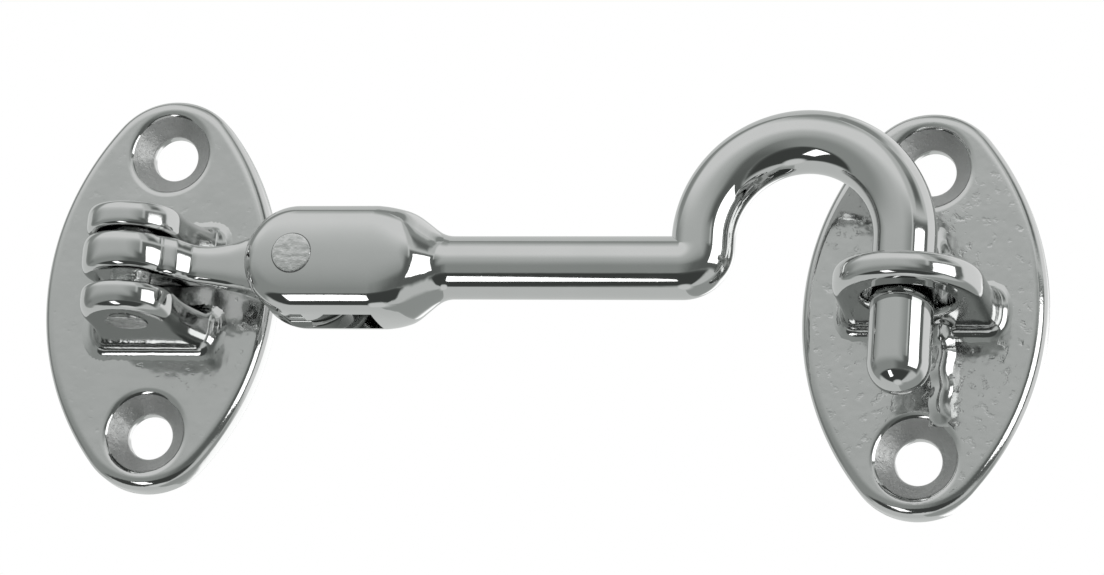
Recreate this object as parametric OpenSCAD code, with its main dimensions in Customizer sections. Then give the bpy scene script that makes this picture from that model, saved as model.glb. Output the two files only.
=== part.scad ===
// Hook latch: a double-jointed hook arm on a hinge plate, dropped into the eye of a keeper plate.
// Everything is in millimetres. X runs along the arm, Z is up along both plates, and the wall
// plane is y = 0, so the latch stands out of the wall towards -Y.

/* [Plates] */
// Length of each oval plate, along Z
plate_l = 41; // [38:0.5:46]
// Width of each oval plate, along X
plate_w = 24.2; // [22.7:0.1:27]
// Thickness of each oval plate
plate_t = 2.9; // [2.6:0.1:4]
// Radius of the round ends of the plate's outline
plate_end_r = 7.4; // [6.5:0.1:8.5]
// Rounding of the plate's front rim
plate_rim_r = 1.2; // [0.4:0.1:1.4]
// Distance between the two screw holes of a plate
screw_spacing = 29.4; // [27:0.2:31]
// Diameter of a screw hole
screw_hole_d = 4.6; // [3.5:0.1:5]
// Diameter of a countersink where it meets the plate's face
countersink_d = 9; // [7:0.1:9.6]

/* [Hinge] */
// Distance from the wall plane to the pin axis and to the axis of the arm
standoff = 11.5; // [10:0.1:13]
// Diameter of the hinge pin
pin_d = 4; // [3:0.1:4.6]
// Radius of the round end of the ears, about the pin
ear_r = 4.8; // [4.4:0.1:5.4]
// Thickness of one ear, along Z
ear_t = 3; // [2.6:0.1:4]
// Width of the ears where they meet the plate
ear_base_w = 12; // [10.4:0.2:14]

/* [Swivel link] */
// Height of the link's eye between the ears, along Z
link_eye_h = 4.9; // [4.2:0.1:5.4]
// Radius of the link's eye
link_eye_r = 5; // [4.6:0.1:5.6]
// Height of the link's waist, along Z
link_waist_h = 3.8; // [3.2:0.1:4.2]
// Distance from the hinge pin to the fork rivet
link_pitch = 18.1; // [16.5:0.1:21]
// Thickness of the tongue in the fork, along Y
tongue_t = 4.7; // [4:0.1:5]
// Radius of the round tongue
tongue_r = 5.1; // [4.7:0.1:5.4]

/* [Hook arm] */
// Distance from the hinge pin to the leg of the hook
arm_reach = 77.9; // [74:0.1:84]
// Diameter of the round rod that the arm is made of
rod_d = 6.2; // [5.8:0.05:6.4]
// Height of the fork, along Z
fork_h = 10.6; // [10.2:0.1:11.4]
// Depth over both cheeks of the fork, along Y
fork_d = 10.3; // [9.6:0.1:10.8]
// Distance from the rivet to the end of the fork's flat cheeks
fork_flat = 11.3; // [10:0.1:12]
// Distance from the rivet to the foot of the shoulder on the rod
fork_len = 13.1; // [12.6:0.1:15]
// Distance from the rivet to the closed end of the fork's slot
slot_len = 7.8; // [7:0.1:9]
// Diameter of the fork rivet
rivet_d = 4; // [3.4:0.1:4.4]
// Radius of the arch, to the middle of the rod
arch_r = 9.9; // [9:0.1:11]
// Height of the arch's centre above the arm's axis
arch_lift = 2.9; // [2.5:0.1:5]
// Radius of the bend where the rod turns up into the arch, to the middle of the rod
bend_r = 1.9; // [1.6:0.1:2.4]
// How far the tip of the hook's leg reaches below the arm's axis
leg_drop = 12.5; // [11:0.1:15]

/* [Keeper] */
// How far the leg stands off the middle of the keeper's eye, towards the hinge
leg_offset = 0.55; // [0.4:0.05:0.8]
// How much lower the keeper sits than the hinge plate
keeper_drop = 1.8; // [0:0.1:2.2]
// How much lower the eye sits than the middle of its plate
eye_shift = 1; // [0:0.1:1.4]
// Diameter of the hole in the keeper's eye
eye_hole_d = 8.8; // [8.7:0.1:9.6]
// Outer radius of the keeper's eye
eye_r = 7.35; // [7:0.05:8]
// Thickness of the keeper's eye, along Z
eye_t = 4.4; // [3.4:0.1:4.8]
// Width of the eye's foot on the plate
eye_base_w = 17; // [16:0.2:20]
// Reach of the rib above the eye, from the middle of the plate
rib_reach_up = 9.6; // [7:0.1:9.8]
// Reach of the rib below the eye, from the middle of the plate
rib_reach_down = 11; // [9:0.1:11.2]
// How far the upper rib stands to the side of the plate's middle
rib_side_up = 1.3; // [-2:0.1:2]
// How far the lower rib stands to the side of the plate's middle
rib_side_down = 3.4; // [2.8:0.1:4]
// Width of a rib
rib_w = 2.2; // [1.4:0.1:3]

/* [Clearances] */
// Gap between the link's eye and each ear, along Z
ear_gap = 0.2; // [0.1:0.05:0.4]
// Gap between the tongue and each cheek, along Y
cheek_gap = 0.15; // [0.1:0.05:0.3]
// Running clearance of a pin in its bore, on the radius
run_fit = 0.06; // [0.03:0.01:0.09]
// Clearance of a pin where it is fixed, on the radius
fixed_fit = 0.01; // [0.005:0.005:0.02]
// How far the peened end of a pin stands proud
peen_proud = 0.2; // [0.1:0.05:0.4]
// How much wider the peened end of a pin is than its shank, on the radius
peen_flare = 0.3; // [0.2:0.05:0.5]

/* [Hidden] */
$fn = 64;

rod_r = rod_d / 2;
pin_r = pin_d / 2;
rivet_r = rivet_d / 2;
screw_r = screw_hole_d / 2;
sink_r = countersink_d / 2;
sink_depth = sink_r - screw_r;
ear_in = link_eye_h / 2 + ear_gap;
ear_out = ear_in + ear_t;
cheek_in = tongue_t / 2 + cheek_gap;
fork_half = fork_d / 2;
tip_z = -(leg_drop - rod_r);
arch_x = arm_reach - arch_r;
keeper_x = arm_reach + leg_offset;
riser_x = arch_x - arch_r;
slice = 0.01;
reach_over = 1;

// The side of a plate is one large arc and its end a small one, tangent where they meet.
side_half = plate_w / 2;
end_z = plate_l / 2 - plate_end_r;
side_r = (side_half ^ 2 + end_z ^ 2 - plate_end_r ^ 2) / (2 * (side_half - plate_end_r));
side_angle = asin(end_z / (side_r - plate_end_r));

function arc(cx, cy, r, from, to, steps) =
    [for (i = [0:steps]) let (a = from + (to - from) * i / steps) [cx + r * cos(a), cy + r * sin(a)]];

// Turns a shape drawn in (x, up) and raised by its distance from the wall into place on the wall.
module on_wall() {
    rotate([90, 0, 0]) children();
}

// A shape drawn in (x, y) and centred on z = 0.
module level(height) {
    translate([0, 0, -height / 2]) linear_extrude(height) children();
}

// The oval outline of a plate, drawn in by inset.
module plate_outline(inset = 0) {
    side_x = side_r - side_half;
    polygon(concat(
        arc(-side_x, 0, side_r - inset, -side_angle, side_angle, 20),
        arc(0, end_z, plate_end_r - inset, side_angle + 8, 172 - side_angle, 12),
        arc(side_x, 0, side_r - inset, 180 - side_angle, 180 + side_angle, 20),
        arc(0, -end_z, plate_end_r - inset, 188 + side_angle, 352 - side_angle, 12)
    ));
}

// A plate with its back on the wall, a rounded front rim and two countersunk screw holes.
module plate_blank() {
    hull() {
        linear_extrude(plate_t - plate_rim_r) plate_outline();
        for (a = [30, 60, 90])
            translate([0, 0, plate_t - plate_rim_r * (1 - sin(a)) - slice])
                linear_extrude(slice) plate_outline(plate_rim_r * (1 - cos(a)));
    }
}

module screw_cuts() {
    for (side = [-1, 1])
        translate([0, side * screw_spacing / 2, 0]) {
            translate([0, 0, -reach_over]) cylinder(h = plate_t + 2 * reach_over, r = screw_r);
            translate([0, 0, plate_t - sink_depth])
                cylinder(h = sink_depth + reach_over, r1 = screw_r, r2 = sink_r + reach_over);
        }
}

// A lug in plan: a round nose about [0, -standoff] with straight flanks running into the plate.
module lug_plan(nose_r, base_w) {
    translate([0, -standoff]) circle(r = nose_r);
    polygon([
        [-nose_r, -standoff], [nose_r, -standoff],
        [nose_r, -plate_t - 3], [base_w / 2 - 0.6, -plate_t - 0.8], [base_w / 2, -plate_t + 0.4],
        [-base_w / 2, -plate_t + 0.4], [-base_w / 2 + 0.6, -plate_t - 0.8], [-nose_r, -plate_t - 3]
    ]);
}

// A pin along Z, centred, with both ends peened over into the outer faces at +-grip.
module peened_pin(r, grip) {
    cylinder(h = 2 * (grip - peen_flare), r = r, center = true);
    for (side = [0, 1])
        mirror([0, 0, side]) {
            translate([0, 0, grip - peen_flare])
                cylinder(h = peen_flare, r1 = r, r2 = r + peen_flare);
            translate([0, 0, grip])
                cylinder(h = peen_proud, r1 = r + peen_flare, r2 = r - peen_flare);
        }
}

// The seat of a peened pin, with the same flared ends and the given clearance on the radius.
module pin_seat(r, grip, fit) {
    cylinder(h = 2 * (grip + reach_over), r = r + fit, center = true);
    for (side = [0, 1])
        mirror([0, 0, side])
            translate([0, 0, grip - peen_flare])
                cylinder(h = peen_flare + reach_over, r1 = r + fit, r2 = r + fit + peen_flare + reach_over);
}

module hinge_plate() {
    color("#b9bcbc") difference() {
        union() {
            on_wall() plate_blank();
            for (side = [-1, 1])
                translate([0, 0, side * (ear_in + ear_out) / 2])
                    level(ear_t) lug_plan(ear_r, ear_base_w);
        }
        on_wall() screw_cuts();
        translate([0, -standoff, 0]) pin_seat(pin_r, ear_out, fixed_fit);
    }
}

module hinge_pin() {
    color("#a9a9a6") translate([0, -standoff, 0]) peened_pin(pin_r, ear_out);
}

// The link in side view: a slim waist that widens into the round tongue.
module link_side() {
    waist = link_waist_h / 2;
    upper_edge = [
        [0, waist], [link_eye_r + 3, waist], [link_eye_r + 5.5, waist + 0.3],
        [link_pitch - tongue_r, waist + 0.9], [link_pitch - tongue_r / 2, tongue_r - 1.2],
        [link_pitch, tongue_r - 1.2]
    ];
    last = len(upper_edge) - 1;
    lower_edge = [for (i = [last:-1:0]) [upper_edge[i].x, -upper_edge[i].y]];
    translate([link_pitch, 0]) circle(r = tongue_r);
    polygon(concat(upper_edge, lower_edge));
}

module swivel_link() {
    color("#bfc2c2") difference() {
        translate([0, -standoff, 0]) union() {
            cylinder(h = link_eye_h, r = link_eye_r, center = true);
            translate([0, tongue_t / 2, 0]) on_wall() linear_extrude(tongue_t) link_side();
        }
        translate([0, -standoff, 0])
            cylinder(h = link_eye_h + 2 * reach_over, r = pin_r + run_fit, center = true);
        translate([link_pitch, -standoff, 0]) rotate([90, 0, 0])
            cylinder(h = tongue_t + 2 * reach_over, r = rivet_r + run_fit, center = true);
    }
}

module fork_rivet() {
    color("#a9a9a6") translate([link_pitch, -standoff, 0]) rotate([90, 0, 0])
        peened_pin(rivet_r, fork_half);
}

// The shoulder is turned about the arm's axis: it cuts the fork's corners round and runs to the rod.
module fork_shoulder() {
    corner = sqrt(fork_half ^ 2 + (fork_h / 2) ^ 2) + 0.2;
    rotate([0, 90, 0]) rotate_extrude() polygon([
        [0, -tongue_r - 2], [corner, -tongue_r - 2], [corner, fork_flat - 5],
        [corner - 0.5, fork_flat - 3.4], [fork_half + 0.9, fork_flat - 1.2],
        [fork_half, fork_flat], [rod_r + 0.9, fork_len - 1], [rod_r, fork_len], [0, fork_len]
    ]);
}

// The fork about the rivet, with the arm's axis along X.
module fork() {
    difference() {
        intersection() {
            translate([0, fork_half, 0]) on_wall() linear_extrude(fork_d) union() {
                circle(r = fork_h / 2);
                translate([0, -fork_h / 2]) square([fork_len, fork_h]);
            }
            fork_shoulder();
        }
        translate([-fork_h, -cheek_in, -fork_h])
            cube([fork_h + slot_len, 2 * cheek_in, 2 * fork_h]);
    }
}

module rod(from, to) {
    translate([from, 0, 0]) rotate([0, 90, 0]) cylinder(h = to - from, r = rod_r);
}

// A round stretch of the rod in the XZ plane, of the given radius, from one angle to another.
module rod_bend(r, from, to) {
    rotate([90, 0, 0]) rotate([0, 0, from]) rotate_extrude(angle = to - from)
        intersection() {
            translate([r, 0]) circle(r = rod_r);
            translate([0, -rod_r - 1]) square([r + rod_r + 1, 2 * rod_r + 2]);
        }
}

module hook_arm() {
    color("#c4c7c7") difference() {
        translate([0, -standoff, 0]) union() {
            translate([link_pitch, 0, 0]) fork();
            rod(link_pitch + fork_len - 0.5, riser_x - bend_r);
            translate([riser_x - bend_r, 0, bend_r]) rod_bend(bend_r, -90, 0);
            translate([riser_x, 0, bend_r]) cylinder(h = arch_lift - bend_r, r = rod_r);
            translate([arch_x, 0, arch_lift]) rod_bend(arch_r, 0, 180);
            translate([arm_reach, 0, tip_z]) cylinder(h = arch_lift - tip_z, r = rod_r);
            translate([arm_reach, 0, tip_z]) sphere(r = rod_r);
        }
        translate([link_pitch, -standoff, 0]) rotate([90, 0, 0])
            pin_seat(rivet_r, fork_half, fixed_fit);
    }
}

// A rib stands on the plate, leans against the foot of the eye and reaches up to z = reach.
module rib(reach) {
    from = eye_t / 2 - eye_shift - 0.6;
    rotate([90, 0, 90]) translate([0, 0, -rib_w / 2]) linear_extrude(rib_w)
        polygon([
            [-plate_t + 0.3, from], [-plate_t - 2.2, from],
            [-plate_t - 1.1, from + 3], [-plate_t - 0.7, reach - 1.2],
            [-plate_t + 0.3, reach]
        ]);
}

module keeper_plate() {
    color("#b9bcbc") translate([keeper_x, 0, -keeper_drop]) difference() {
        union() {
            on_wall() plate_blank();
            translate([0, 0, -eye_shift]) level(eye_t) lug_plan(eye_r, eye_base_w);
            translate([rib_side_up, 0, 0]) rib(rib_reach_up);
            translate([rib_side_down, 0, 0]) mirror([0, 0, 1]) rib(rib_reach_down);
        }
        on_wall() screw_cuts();
        translate([0, -standoff, -eye_shift])
            cylinder(h = eye_t + 2 * reach_over, r = eye_hole_d / 2, center = true);
    }
}

hinge_plate();
hinge_pin();
swivel_link();
fork_rivet();
hook_arm();
keeper_plate();
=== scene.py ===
"""A chromed hook latch: hinge plate, swivel link, hook arm and keeper plate.

Shapes are worked out in millimetres with numpy and put into meshes in metres, in the
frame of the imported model: X along the arm, Y into the wall, Z up, wall at y = 0.
"""
import logging
import math
from dataclasses import dataclass, field
from enum import Enum, IntEnum

import bmesh
import bpy
import numpy as np
from mathutils import Matrix, Vector


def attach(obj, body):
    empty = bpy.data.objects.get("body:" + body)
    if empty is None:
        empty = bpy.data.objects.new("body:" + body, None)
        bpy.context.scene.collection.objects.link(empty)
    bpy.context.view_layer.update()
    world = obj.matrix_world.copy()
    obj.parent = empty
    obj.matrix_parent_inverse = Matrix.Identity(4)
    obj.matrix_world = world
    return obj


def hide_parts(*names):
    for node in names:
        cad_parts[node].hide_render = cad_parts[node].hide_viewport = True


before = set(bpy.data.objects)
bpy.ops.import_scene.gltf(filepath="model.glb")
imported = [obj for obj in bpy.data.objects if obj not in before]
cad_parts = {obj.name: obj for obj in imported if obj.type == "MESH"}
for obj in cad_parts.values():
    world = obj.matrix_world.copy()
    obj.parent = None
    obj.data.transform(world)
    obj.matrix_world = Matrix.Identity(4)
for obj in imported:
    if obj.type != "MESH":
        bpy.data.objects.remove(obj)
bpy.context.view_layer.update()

MM = 0.001
AXIS_Y = -11.5  # the arm, the link and both eyes share this line, 11.5 mm off the wall
PITCH = 18.1  # from the pin's axis to the rivet's
THICKNESS = 2.9  # of both plates
WELD = 1e-4  # points nearer than this many millimetres are one
TURNS = 72  # steps round a pin
EIGHTH = math.pi / 4
QUARTER = math.pi / 2
DARKER = (0.95, 0.965, 0.955)  # shares of a finish's tone between which its clouds mix
LIGHTER = (1.04, 1.045, 1.04)
log = logging.getLogger("hook_latch")


class Slot(Enum):
    """The record's material slots."""

    PLATE = "cast_plate"
    PIN = "peened_pin"
    LINK = "link"
    ARM = "arm"


class Axis(Enum):
    """The directions that pins stand in."""

    Y = "across the arm"
    Z = "upright"


class Skin(IntEnum):
    """Which of its three finishes a face of a plate takes."""

    CAST = 0
    CONE = 1
    FLAT = 2


@dataclass(frozen=True)
class Chrome:
    """Chromium plate over a surface that is more or less rough.

    Attributes:
        name: The material's name.
        tone: Grey level of the metal, linear.
        roughness: Lowest and highest roughness, mixed by a cloud pattern.
        dents: Size in mm and depth in mm of broad unevenness.
        pits: Size in mm and depth in mm of small sharp pits.
        pit_share: Share of the surface that the pits leave alone, 0 to 1.
        calm: Share of the bumps that is left on what stands far off the wall.
    """

    name: str
    tone: float
    roughness: tuple[float, float]
    dents: tuple[float, float]
    pits: tuple[float, float]
    pit_share: float
    calm: float = 1.0

    def build(self) -> bpy.types.Material:
        """Noise on Object coordinates drives tone, roughness and two bumps.

        The bumps fade towards the calm share from 5 mm to 9 mm off the wall.

        Returns:
            The material.
        """
        mat = bpy.data.materials.new(self.name)
        mat.use_nodes = True
        tree = mat.node_tree
        tree.nodes.clear()
        link = tree.links.new

        def node(kind: str, **values: object) -> bpy.types.Node:
            """Makes a node.

            Args:
                kind: Its type.
                **values: Settings by attribute name, or by input name after in_.

            Returns:
                The node.
            """
            made = tree.nodes.new(kind)
            for key, value in values.items():
                if key.startswith("in_"):
                    made.inputs[key[3:].replace("_", " ")].default_value = value
                else:
                    setattr(made, key, value)
            return made

        place = node("ShaderNodeTexCoord").outputs["Object"]

        def noise(scale: float, detail: float, roughness: float = 0.5) -> bpy.types.NodeSocket:
            """Makes a cloud pattern in Object coordinates.

            Args:
                scale: Clouds in a metre.
                detail: Number of finer octaves.
                roughness: How strong those are.

            Returns:
                The pattern's value.
            """
            made = node("ShaderNodeTexNoise", in_Scale=scale, in_Detail=detail, in_Roughness=roughness)
            link(place, made.inputs["Vector"])
            return made.outputs[0]

        metal = node("ShaderNodeBsdfPrincipled", in_Metallic=1.0)
        link(metal.outputs[0], node("ShaderNodeOutputMaterial").inputs[0])
        clouds = noise(scale=180.0, detail=4.0, roughness=0.6)
        tint = node("ShaderNodeMix", data_type="RGBA")
        for name, shade in (("A", DARKER), ("B", LIGHTER)):
            tint.inputs[name].default_value = (*(self.tone * part for part in shade), 1.0)
        link(clouds, tint.inputs["Factor"])
        link(tint.outputs["Result"], metal.inputs["Base Color"])
        low, high = self.roughness
        gloss = node("ShaderNodeMapRange", in_From_Min=0.35, in_From_Max=0.7, in_To_Min=low, in_To_Max=high)
        link(clouds, gloss.inputs["Value"])
        link(gloss.outputs[0], metal.inputs["Roughness"])
        depth = node("ShaderNodeSeparateXYZ")
        link(place, depth.inputs[0])
        near = node("ShaderNodeMapRange", in_From_Min=-9 * MM, in_From_Max=-5 * MM, in_To_Min=self.calm)
        link(depth.outputs[1], near.inputs["Value"])
        broad = node("ShaderNodeBump", in_Distance=self.dents[1] * MM)
        link(noise(scale=1.0 / (self.dents[0] * MM), detail=2.0), broad.inputs["Height"])
        level = node("ShaderNodeMapRange", in_From_Min=self.pit_share, in_From_Max=self.pit_share + 0.3)
        holes = noise(scale=1.0 / (self.pits[0] * MM), detail=3.0, roughness=0.55)
        link(holes, level.inputs["Value"])
        fine = node("ShaderNodeBump", in_Distance=self.pits[1] * MM, invert=True)
        link(level.outputs[0], fine.inputs["Height"])
        link(broad.outputs[0], fine.inputs["Normal"])
        link(fine.outputs[0], metal.inputs["Normal"])
        for bump in (broad, fine):
            link(near.outputs[0], bump.inputs["Strength"])
        return mat


POLISHED = Chrome("polished_chrome", 0.60, (0.03, 0.07), (3.0, 0.006), (0.5, 0.002), 0.62)
CAST = Chrome("cast_chrome", 0.60, (0.05, 0.13), (1.6, 0.02), (0.8, 0.006), 0.5, 0.15)
PITTED = Chrome("pitted_chrome", 0.60, (0.09, 0.2), (2.2, 0.07), (0.9, 0.055), 0.57)
RUBBED = Chrome("rubbed_chrome", 0.60, (0.06, 0.18), (2.4, 0.06), (0.9, 0.03), 0.62)
# Countersink cones: a rough machined finish, with a lower tone that is painted shade in the recess.
MACHINED_SHADED = Chrome("machined_shaded_chrome", 0.54, (0.42, 0.62), (1.2, 0.12), (0.35, 0.03), 0.5)
HAMMERED = Chrome("hammered_chrome", 0.63, (0.1, 0.26), (0.6, 0.17), (0.3, 0.05), 0.5)
# Painted shade: a dark chrome that stands in for the shade in the groove round the rivet's head.
RIVET_RING_SHADE = Chrome("painted_shade_rivet_ring", 0.2, (0.3, 0.5), (0.7, 0.06), (0.3, 0.02), 0.5)


@dataclass
class Patch:
    """A grid of points in millimetres, with the cells that are left open.

    Attributes:
        points: Array (rows, columns, 3).
        keep: Optional array (rows - 1, columns - 1), False where no face is made.
    """

    points: np.ndarray
    keep: np.ndarray | None = None


def grid_cells(patch: Patch, first: int) -> np.ndarray:
    """Corner numbers of a patch's cells.

    Args:
        patch: The grid.
        first: The number of its first point.

    Returns:
        Array (cells, 4): each cell's corners, taken round the cell.
    """
    rows, cols = patch.points.shape[:2]
    number = first + np.arange(rows * cols).reshape(rows, cols)
    corners = np.stack([number[:-1, :-1], number[1:, :-1], number[1:, 1:], number[:-1, 1:]], -1)
    if patch.keep is not None:
        return corners[patch.keep]
    return corners.reshape(-1, 4)


def weld(patches: list[Patch]) -> tuple[np.ndarray, list[list[int]]]:
    """Joins patches where their points coincide.

    Points are rounded to a ten-thousandth of a millimetre, off the round values that many
    points have, and equal ones become one. A cell with one doubled corner becomes a
    triangle, and a cell with more is dropped.

    Args:
        patches: The grids of one closed shell.

    Returns:
        The points (n, 3) in millimetres and the faces.
    """
    points = np.concatenate([p.points.reshape(-1, 3) for p in patches])
    starts = np.cumsum([0] + [p.points.shape[0] * p.points.shape[1] for p in patches[:-1]])
    cells = np.concatenate([grid_cells(p, int(s)) for p, s in zip(patches, starts)])
    off_round = 0.3137
    keys = np.round(points / WELD + off_round).astype(np.int64)
    _, kept, same = np.unique(keys, axis=0, return_index=True, return_inverse=True)
    cells = same.reshape(-1)[cells]
    doubled = cells == np.roll(cells, -1, axis=1)
    crossed = (cells[:, 0] == cells[:, 2]) | (cells[:, 1] == cells[:, 3])
    quads = cells[(doubled.sum(1) == 0) & ~crossed]
    thin = (doubled.sum(1) == 1) & ~crossed
    triangles = cells[thin][~doubled[thin]].reshape(-1, 3)
    return points[kept], quads.tolist() + triangles.tolist()


def build_piece(name: str, shells: list[list[Patch]], crease: float = 38.0) -> bpy.types.Object:
    """Makes one object from closed shells, each with its faces turned outwards.

    Args:
        name: The piece's name.
        shells: Each shell's patches, in millimetres.
        crease: Edges sharper than this many degrees stay crisp.

    Returns:
        The object, at the origin, with its place in its mesh.
    """
    joined = bmesh.new()
    for patches in shells:
        points, faces = weld(patches)
        part = bpy.data.meshes.new("part")
        part.from_pydata((points * MM).tolist(), [], faces)
        one = bmesh.new()
        one.from_mesh(part)
        loose = [v for v in one.verts if not v.link_faces]
        bmesh.ops.delete(one, geom=loose, context="VERTS")
        bmesh.ops.recalc_face_normals(one, faces=one.faces)
        if one.calc_volume(signed=True) < 0:
            bmesh.ops.reverse_faces(one, faces=one.faces)
        one.to_mesh(part)
        one.free()
        joined.from_mesh(part)
        bpy.data.meshes.remove(part)
    mesh = bpy.data.meshes.new(name)
    joined.to_mesh(mesh)
    joined.free()
    mesh.shade_smooth()
    mesh.set_sharp_from_angle(angle=math.radians(crease))
    piece = bpy.data.objects.new(name, mesh)
    bpy.context.scene.collection.objects.link(piece)
    log.info("%s: %d faces", name, len(mesh.polygons))
    return piece


def smooth(t: np.ndarray) -> np.ndarray:
    """The curve 3t^2 - 2t^3 with t held between 0 and 1."""
    t = np.clip(t, 0.0, 1.0)
    return t * t * (3.0 - 2.0 * t)


def ease_line(x: np.ndarray, knots: tuple[tuple[float, float], ...]) -> np.ndarray:
    """A smooth curve through knots: a monotone cubic with slopes from its neighbours.

    Each inner slope is the harmonic mean of the slopes on its two sides, or 0 at a turn.

    Args:
        x: Where the curve is wanted.
        knots: Pairs (x, value), x rising.

    Returns:
        The curve's values, held level outside the knots.
    """
    kx, kv = np.array(knots, float).T
    step, rise = np.diff(kx), np.diff(kv) / np.diff(kx)
    both = rise[:-1] * rise[1:]
    safe = np.where(both > 0, rise[:-1] + rise[1:], 1.0)
    inner = np.where(both > 0, 2.0 * both / safe, 0.0)
    slope = np.concatenate([[0.0], inner, [0.0]])
    i = np.clip(np.searchsorted(kx, x, side="right") - 1, 0, len(step) - 1)
    t = np.clip((x - kx[i]) / step[i], 0.0, 1.0)
    start_pull = t * (1 - t) ** 2 * step[i] * slope[i]
    end_pull = t * t * (t - 1) * step[i] * slope[i + 1]
    return kv[i] + (kv[i + 1] - kv[i]) * (3 * t * t - 2 * t ** 3) + start_pull + end_pull


def superellipse(angle: np.ndarray, power: np.ndarray | float) -> np.ndarray:
    """Reach of the curve |a|^power + |b|^power = 1 at an angle: (|cos|^p + |sin|^p)^(-1/p)."""
    return (np.abs(np.cos(angle)) ** power + np.abs(np.sin(angle)) ** power) ** (-1.0 / power)


def face_centres(mesh: bpy.types.Mesh) -> np.ndarray:
    """The middles of a mesh's faces.

    Args:
        mesh: The mesh, in metres.

    Returns:
        Array (3, faces) of x, y and z in millimetres.
    """
    centre = np.empty(3 * len(mesh.polygons))
    mesh.polygons.foreach_get("center", centre)
    return centre.reshape(-1, 3).T / MM


def hand_in(
    piece: bpy.types.Object,
    body: str,
    node: str,
    finishes: tuple[Chrome, ...],
    which: np.ndarray | None = None,
) -> None:
    """Tells the frame what a piece is, and gives it its finishes.

    Args:
        piece: The piece.
        body: The body that it moves with.
        node: The CAD node that it stands for.
        finishes: Its finishes.
        which: The number of each face's finish; without it, all take the first.
    """
    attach(piece, body)
    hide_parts(node)
    for finish in finishes:
        piece.data.materials.append(bpy.data.materials.get(finish.name) or finish.build())
    if which is not None:
        piece.data.polygons.foreach_set("material_index", which.astype(np.int32))


def revolve(r: np.ndarray, h: np.ndarray, centre: tuple[float, float, float], axis: Axis) -> Patch:
    """Turns a pin's section round an axis.

    The section runs from the middle of one end to near the pin's middle, and its mirror
    image follows. A point becomes centre + h * axis + r * (cos, sin) of the turn in the two
    other directions.

    Args:
        r: Radius of the section's points.
        h: Their height over the pin's middle.
        centre: The pin's middle, in millimetres.
        axis: The axis's direction.

    Returns:
        The closed patch.
    """
    turn = np.linspace(0.0, 2.0 * np.pi, TURNS + 1)
    turn[-1] = 0.0
    r, h = np.concatenate([r, r[::-1]])[:, None], np.concatenate([h, -h[::-1]])[:, None]
    a, b, h = r * np.cos(turn), r * np.sin(turn), h + 0.0 * turn
    offset = np.stack([a, h, b] if axis is Axis.Y else [a, b, h], -1)
    return Patch(np.array(centre) + offset)


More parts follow.
